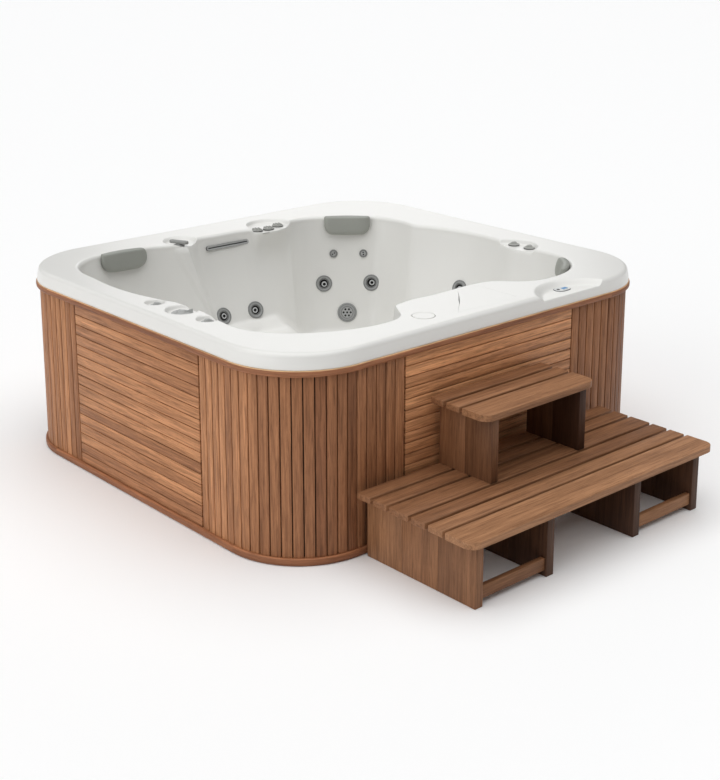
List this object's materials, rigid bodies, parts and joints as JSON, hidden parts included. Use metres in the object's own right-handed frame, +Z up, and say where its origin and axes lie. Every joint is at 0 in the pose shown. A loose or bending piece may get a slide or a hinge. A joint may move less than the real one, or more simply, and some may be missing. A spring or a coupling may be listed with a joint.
{
  "type": "hot tub",
  "caption": "Square hot tub: moulded shell with seats and footwell in a slatted timber cabinet, with head pillows, jets, rim valves, filter deck, and a two-tier timber step.",
  "frame": {"origin": "centre of the tub's floor plan, on the floor, under the base pan", "axes": "+Z up; +Y from the front with the steps and control panel towards the back; +X to the right seen from the front"},
  "size_m": [2.16, 2.638, 0.8513],
  "materials": {
    "black_plastic": "matte black moulded plastic",
    "softwood": "planed softwood",
    "dark_board": "dark stained board",
    "cabinet_teak": "oiled reddish-brown hardwood, satin",
    "step_teak": "oiled brown hardwood, satin",
    "acrylic": "high-gloss white acrylic",
    "steel": "stainless tube",
    "cast_aluminium": "painted cast motor body",
    "satin_chrome": "satin chromed plastic",
    "pillow_skin": "grey-green soft foam skin",
    "display_glass": "blue display window",
    "white_pipe": "white pipe",
    "filter_paper": "pleated filter medium",
    "grey_plastic": "mid-grey moulded plastic"
  },
  "bodies": {
    "tub": {"base_pan": "black_plastic", "bottom_trim": "cabinet_teak", "frame_sill": "softwood", "frame_posts": "softwood", "frame_top_rail": "softwood", "cladding_backings": "dark_board", "corner_slats": "cabinet_teak", "front_panel_slats": "cabinet_teak", "back_panel_slats": "cabinet_teak", "right_panel_slats": "cabinet_teak", "top_trim": "cabinet_teak", "shell": "acrylic", "shell_cradle": "grey_plastic", "pump_housings": "black_plastic", "pump_motors": "cast_aluminium", "heater": "steel", "control_box": "grey_plastic", "air_blower": "black_plastic", "water_pipes": "white_pipe", "filter_housing": "grey_plastic", "waterfall_spout": "grey_plastic", "jet_housings": "grey_plastic", "suction_cover": "grey_plastic", "panel_tray": "acrylic", "keypad": "grey_plastic", "panel_display": "display_glass", "valve_bases": "acrylic", "pillow_pegs": "grey_plastic", "lower_step_legs": "step_teak", "lower_step_slats": "step_teak", "lower_step_rails": "step_teak", "upper_step_sides": "step_teak", "upper_step_slats": "step_teak"},
    "service_panel": {"left_panel_slats": "cabinet_teak", "left_panel_backing": "dark_board"},
    "filter_lid": {"filter_lid": "acrylic"},
    "filter_cartridge": {"filter_cartridge": "filter_paper"},
    "filter_lid_cap": {"filter_lid_cap": "acrylic"},
    "jet_face_back_left": {"jet_face_back_left": "grey_plastic"},
    "jet_face_back_right": {"jet_face_back_right": "grey_plastic"},
    "jet_face_corner_left": {"jet_face_corner_left": "grey_plastic"},
    "jet_face_corner_right": {"jet_face_corner_right": "grey_plastic"},
    "jet_face_side": {"jet_face_side": "grey_plastic"},
    "small_jet_left": {"small_jet_left": "grey_plastic"},
    "small_jet_right": {"small_jet_right": "grey_plastic"},
    "diverter_knob": {"diverter_knob": "satin_chrome"},
    "air_knob_left_rear": {"air_knob_left_rear": "satin_chrome"},
    "air_knob_left_front": {"air_knob_left_front": "satin_chrome"},
    "lever_knob_back": {"lever_knob_back": "satin_chrome"},
    "air_knob_back_1": {"air_knob_back_1": "satin_chrome"},
    "air_knob_back_2": {"air_knob_back_2": "satin_chrome"},
    "air_knob_back_3": {"air_knob_back_3": "satin_chrome"},
    "air_knob_right_rear": {"air_knob_right_rear": "satin_chrome"},
    "air_knob_right_front": {"air_knob_right_front": "satin_chrome"},
    "panel_button_main": {"panel_button_main": "black_plastic"},
    "panel_button_up": {"panel_button_up": "acrylic"},
    "panel_button_down": {"panel_button_down": "acrylic"},
    "pillow_back_left": {"pillow_back_left": "pillow_skin"},
    "pillow_back_right": {"pillow_back_right": "pillow_skin"},
    "pillow_front_right": {"pillow_front_right": "pillow_skin"}
  },
  "joints": [
    {"name": "service_panel_slide", "type": "slide", "parent": "tub", "child": "service_panel", "axis": [-1, 0, 0], "range_m": [0, 0.12]},
    {"name": "filter_lid_slide", "type": "slide", "parent": "tub", "child": "filter_lid", "axis": [0, 0, 1], "range_m": [0, 0.15]},
    {"name": "filter_cartridge_slide", "type": "slide", "parent": "tub", "child": "filter_cartridge", "axis": [0, 0, 1], "range_m": [0, 0.03]},
    {"name": "filter_lid_cap_turn", "type": "hinge", "parent": "tub", "child": "filter_lid_cap", "pos_m": [-0.274, -0.874, 0.834], "axis": [0, 0, 1], "range_deg": [0, 90]},
    {"name": "jet_face_back_left_turn", "type": "hinge", "parent": "tub", "child": "jet_face_back_left", "pos_m": [-0.13628, 0.65367, 0.464], "axis": [0.0123, -0.9199, 0.392], "range_deg": [0, 135]},
    {"name": "jet_face_back_right_turn", "type": "hinge", "parent": "tub", "child": "jet_face_back_right", "pos_m": [0.04778, 0.64177, 0.463], "axis": [-0.1413, -0.909, 0.392], "range_deg": [0, 135]},
    {"name": "jet_face_corner_left_turn", "type": "hinge", "parent": "tub", "child": "jet_face_corner_left", "pos_m": [0.5151, 0.67436, 0.504], "axis": [-0.5244, -0.8191, 0.2325], "range_deg": [0, 135]},
    {"name": "jet_face_corner_right_turn", "type": "hinge", "parent": "tub", "child": "jet_face_corner_right", "pos_m": [0.6986, 0.51565, 0.508], "axis": [-0.7771, -0.5848, 0.2325], "range_deg": [0, 135]},
    {"name": "jet_face_side_turn", "type": "hinge", "parent": "tub", "child": "jet_face_side", "pos_m": [0.80774, -0.00909, 0.567], "axis": [-0.9569, -0.098, 0.2735], "range_deg": [0, 135]},
    {"name": "small_jet_left_turn", "type": "hinge", "parent": "tub", "child": "small_jet_left", "pos_m": [0.57822, 0.67243, 0.652], "axis": [-0.5966, -0.7684, 0.2316], "range_deg": [0, 135]},
    {"name": "small_jet_right_turn", "type": "hinge", "parent": "tub", "child": "small_jet_right", "pos_m": [0.69299, 0.57143, 0.653], "axis": [-0.6892, -0.687, 0.2301], "range_deg": [0, 135]},
    {"name": "diverter_knob_turn", "type": "hinge", "parent": "tub", "child": "diverter_knob", "pos_m": [-0.949, -0.188, 0.823], "axis": [0, 0, 1], "range_deg": [-90, 90]},
    {"name": "air_knob_left_rear_turn", "type": "hinge", "parent": "tub", "child": "air_knob_left_rear", "pos_m": [-0.957, -0.017, 0.823], "axis": [0, 0, 1], "range_deg": [0, 120]},
    {"name": "air_knob_left_front_turn", "type": "hinge", "parent": "tub", "child": "air_knob_left_front", "pos_m": [-0.937, -0.343, 0.823], "axis": [0, 0, 1], "range_deg": [0, 120]},
    {"name": "lever_knob_back_turn", "type": "hinge", "parent": "tub", "child": "lever_knob_back", "pos_m": [-0.308, 0.763, 0.823], "axis": [0, 0, 1], "range_deg": [-50, 50]},
    {"name": "air_knob_back_1_turn", "type": "hinge", "parent": "tub", "child": "air_knob_back_1", "pos_m": [0.155, 0.758, 0.823], "axis": [0, 0, 1], "range_deg": [0, 120]},
    {"name": "air_knob_back_2_turn", "type": "hinge", "parent": "tub", "child": "air_knob_back_2", "pos_m": [0.22, 0.75, 0.823], "axis": [0, 0, 1], "range_deg": [0, 120]},
    {"name": "air_knob_back_3_turn", "type": "hinge", "parent": "tub", "child": "air_knob_back_3", "pos_m": [0.296, 0.773, 0.823], "axis": [0, 0, 1], "range_deg": [0, 120]},
    {"name": "air_knob_right_rear_turn", "type": "hinge", "parent": "tub", "child": "air_knob_right_rear", "pos_m": [0.893, -0.283, 0.823], "axis": [0, 0, 1], "range_deg": [0, 120]},
    {"name": "air_knob_right_front_turn", "type": "hinge", "parent": "tub", "child": "air_knob_right_front", "pos_m": [0.899, -0.375, 0.823], "axis": [0, 0, 1], "range_deg": [0, 120]},
    {"name": "panel_button_main_slide", "type": "slide", "parent": "tub", "child": "panel_button_main", "axis": [0, 0, -1], "range_m": [0, 0.0015], "stiffness_N_per_m": 400, "springref_m": -0.0005},
    {"name": "panel_button_up_slide", "type": "slide", "parent": "tub", "child": "panel_button_up", "axis": [0, 0, -1], "range_m": [0, 0.0015], "stiffness_N_per_m": 400, "springref_m": -0.0005},
    {"name": "panel_button_down_slide", "type": "slide", "parent": "tub", "child": "panel_button_down", "axis": [0, 0, -1], "range_m": [0, 0.0015], "stiffness_N_per_m": 400, "springref_m": -0.0005},
    {"name": "pillow_back_left_slide", "type": "slide", "parent": "tub", "child": "pillow_back_left", "axis": [-0.0552, -0.9764, 0.2089], "range_m": [0, 0.06]},
    {"name": "pillow_back_right_slide", "type": "slide", "parent": "tub", "child": "pillow_back_right", "axis": [-0.6413, -0.7476, 0.1727], "range_m": [0, 0.06]},
    {"name": "pillow_front_right_slide", "type": "slide", "parent": "tub", "child": "pillow_front_right", "axis": [-0.7016, 0.6781, 0.219], "range_m": [0, 0.06]}
  ]
}
